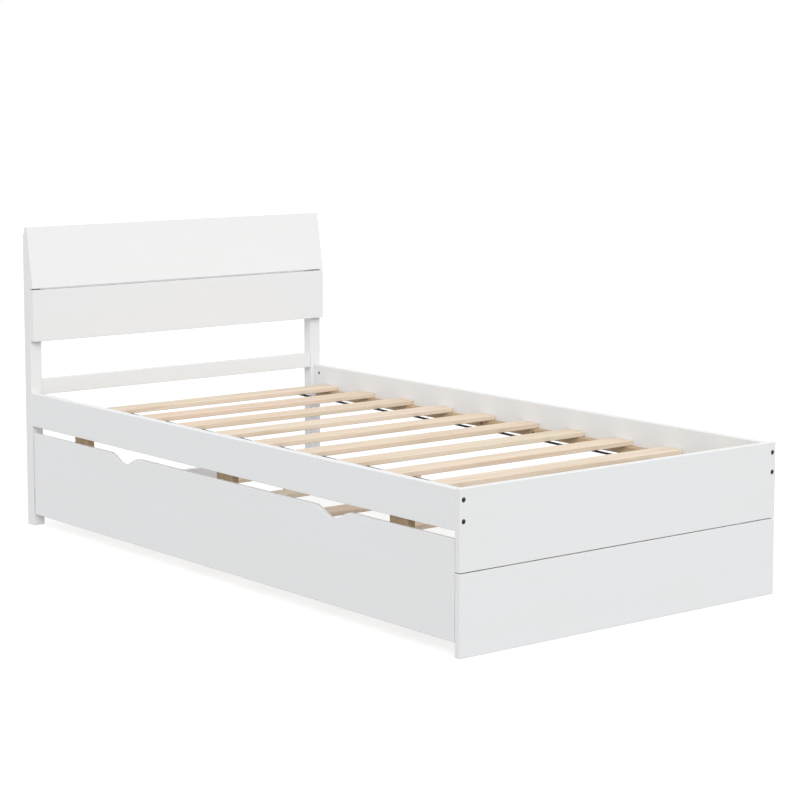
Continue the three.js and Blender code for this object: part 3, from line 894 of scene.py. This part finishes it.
def bracket_pattern(pan):
    """A bracket standing at the origin: its plate against y = 0, its axle pointing along +Y."""
    plate = block("bracket_plate", (-PLATE_HALF_WIDTH, 0, AXLE_HEIGHT - PLATE_FOOT_RADIUS),
                  (PLATE_HALF_WIDTH, PLATE_THICK, PLATE_TOP))
    slice_across(plate, "Z", [AXLE_HEIGHT, PLATE_SHOULDER])
    for side in (-1, 1):
        squeeze = -side * (PLATE_HALF_WIDTH - PLATE_FOOT_RADIUS)
        shape(plate, "VERT", lambda v: v.co.x * side > 0 and v.co.z < AXLE_HEIGHT + MM, move(x=squeeze))
    foot = AXLE_HEIGHT - PLATE_FOOT_RADIUS + MM
    head = PLATE_TOP - MM
    almost_round = 0.999 * PLATE_FOOT_RADIUS
    shape(plate, "EDGE", lambda e: runs_along(e, "Y") and e.verts[0].co.z < foot, round_off(almost_round, 10))
    shape(plate, "EDGE", lambda e: runs_along(e, "Y") and e.verts[0].co.z > head, round_off(4 * MM, 5))
    ease(plate, 0.5 * MM, 2)

    shoulder = [(1, 7), (3.4, 7), (4, 6.4), (4, 4)]
    riveted_end = [(24, 4), (24, 6.2), (24.5, 6.9), (25.3, 6.6), (26, 4.6), (26, 1.5)]
    profile = shoulder + riveted_end
    axle = polish(turned("axle", profile, 36))
    axle.data.transform(facing((0, 0, AXLE_HEIGHT), (0, 1, 0)))

    screws = []
    for x in (-12 * MM, 12 * MM):
        for z in (70 * MM, 88 * MM):
            matrix = facing((x, PLATE_THICK, z), (0, 1, 0), turn=z * 900 + x * 400)
            screws.append(copy_of(pan, "bracket_screw", matrix))
    return join("bracket_pattern", [plate, axle, *screws])


def tyre_pattern():
    """A soft tread ring about Z, centred on its own middle."""
    half = [(2.2, 25), (4.6, 24.9), (6.8, 24.3), (8.2, 22.8), (8.8, 20.5), (8.7, 18), (7.9, 16.8)]
    other_half = [(-height, radius) for height, radius in reversed(half)]
    profile = [*other_half, *half, other_half[0]]
    return polish(turned("tyre_pattern", profile, 64, bored=True))


def hub_pattern():
    """A moulded hub about Z: bored boss, thin web and rim, stiffened by eight ribs."""
    half = [(8, 16.9), (7.8, 15.4), (2.2, 15), (2.4, 8.6), (8.6, 8), (9, 7.6), (9, 4.8), (8.8, 4.5)]
    other_half = [(-height, radius) for height, radius in reversed(half)]
    profile = [*other_half, *half, other_half[0]]
    hub = turned("hub_pattern", profile, 48, bored=True)
    ribs = []
    for step in range(HUB_RIBS):
        rib = block("rib", (7.6 * MM, -0.8 * MM, -6.4 * MM), (15.4 * MM, 0.8 * MM, 6.4 * MM))
        ease(rib, 0.25 * MM, 2)
        rib.data.transform(Matrix.Rotation(2 * pi * step / HUB_RIBS, 4, "Z"))
        ribs.append(rib)
    return join("hub_pattern", [polish(hub), *ribs])


def make_casters(pan):
    bracket = bracket_pattern(pan)
    tyre = tyre_pattern()
    hub = hub_pattern()
    for end, inward in (("foot", 1), ("head", -1)):
        for row in ("front", "back"):
            node = f"caster_bracket_{end}_{row}"
            low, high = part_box(node)
            against = low.y if inward > 0 else high.y
            turn = Matrix.Rotation(0 if inward > 0 else pi, 4, "Z")
            matrix = Matrix.Translation(((low.x + high.x) / 2, against, 0)) @ turn
            fit_out(copy_of(bracket, f"{node}_pressed", matrix), ZINC_STEEL, "zinc_steel", "trundle", node)

            wheel = f"caster_wheel_{end}_{row}"
            low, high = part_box(wheel)
            matrix = facing((low + high) / 2, (0, 1, 0))
            body = f"{row}_{end}_wheel"
            fit_out(copy_of(tyre, f"{wheel}_tyre", matrix), TREAD_PLASTIC, "wheel_plastic", body, wheel)
            fit_out(copy_of(hub, f"{wheel}_hub", matrix), HUB_PLASTIC, "wheel_plastic", body)
    discard(bracket, tyre, hub)


# ---------------------------------------------------------------- floor and light

FLOOR_SIZE = 300
FLOOR_GREY = (0.32, 0.32, 0.32, 1)
FLOOR_GLOW = 0.72
SKY_BELOW = 0.42
KEY_TOWARDS = (0.52, 0.69, -0.50)
KEY_STRENGTH = 1.75
KEY_SPREAD = 45


def make_studio():
    """A pale floor that gives no light back, a white sky over a dimmer lower half, and one soft light."""
    bpy.ops.object.select_all(action="DESELECT")
    bpy.ops.mesh.primitive_plane_add(size=FLOOR_SIZE, location=(0, 0, 0))
    floor = settle("floor")
    ground = Shader("floor", Roughness=0.9, Specular_IOR_Level=0.1)
    ground.principled.inputs["Base Color"].default_value = FLOOR_GREY
    ground.principled.inputs["Emission Color"].default_value = (1, 1, 1, 1)
    ground.principled.inputs["Emission Strength"].default_value = FLOOR_GLOW
    floor.data.materials.append(ground.material)
    floor.visible_diffuse = False
    floor.visible_glossy = False

    world = bpy.data.worlds.new("studio")
    world.use_nodes = True
    nodes = world.node_tree.nodes
    links = world.node_tree.links
    direction = nodes.new("ShaderNodeTexCoord").outputs["Generated"]
    height = nodes.new("ShaderNodeSeparateXYZ")
    links.new(direction, height.inputs[0])
    sky = nodes.new("ShaderNodeMapRange")
    links.new(height.outputs["Z"], sky.inputs["Value"])
    fade = {"From Min": -0.25, "From Max": -0.02, "To Min": SKY_BELOW, "To Max": 1.0}
    for socket, value in fade.items():
        sky.inputs[socket].default_value = value
    links.new(sky.outputs["Result"], nodes["Background"].inputs["Color"])
    bpy.context.scene.world = world

    add_soft_light("soft_key_light", KEY_TOWARDS, KEY_STRENGTH, KEY_SPREAD)
    bpy.context.scene.view_settings.view_transform = "Standard"


def add_soft_light(name, towards, strength, spread):
    """Light from a broad patch of sky, spread degrees across."""
    data = bpy.data.lights.new(name, "SUN")
    data.energy = strength
    data.angle = radians(spread)
    lamp = bpy.data.objects.new(name, data)
    lamp.rotation_euler = Vector(towards).to_track_quat("-Z", "Y").to_euler()
    bpy.context.scene.collection.objects.link(lamp)


# ---------------------------------------------------------------- assembly

make_camera()
make_studio()

countersunk = countersunk_pattern()
pan = pan_pattern()
staple = staple_pattern()

painted_board("headboard_lower_board", "X", "bed")
make_upper_headboard()
painted_board("headboard_cross_rail", "X", "bed")

painted_board("footboard_lower_board", "X", "bed")
foot_low, foot_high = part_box("footboard_upper_board")
foot_holes = []
for side in SIDES:
    foot_holes += counterbored_holes("foot", side, foot_low.y, foot_high.y)
painted_board("footboard_upper_board", "X", "bed", foot_holes)

for side in SIDES:
    make_post(side, countersunk)
    make_rail(side)
    make_batten(side, countersunk)
    make_ledger(side, countersunk)
    make_strap(side, staple)
make_bolts()
make_barrel_nuts()
make_slats()
for number in range(1, STOP_BLOCK_COUNT + 1):
    make_stop_block(number, countersunk)

make_front_panel()
make_trundle_rails(countersunk)
make_trundle_ledgers(countersunk)
make_trundle_slats(countersunk)
make_casters(pan)
discard(countersunk, pan, staple)
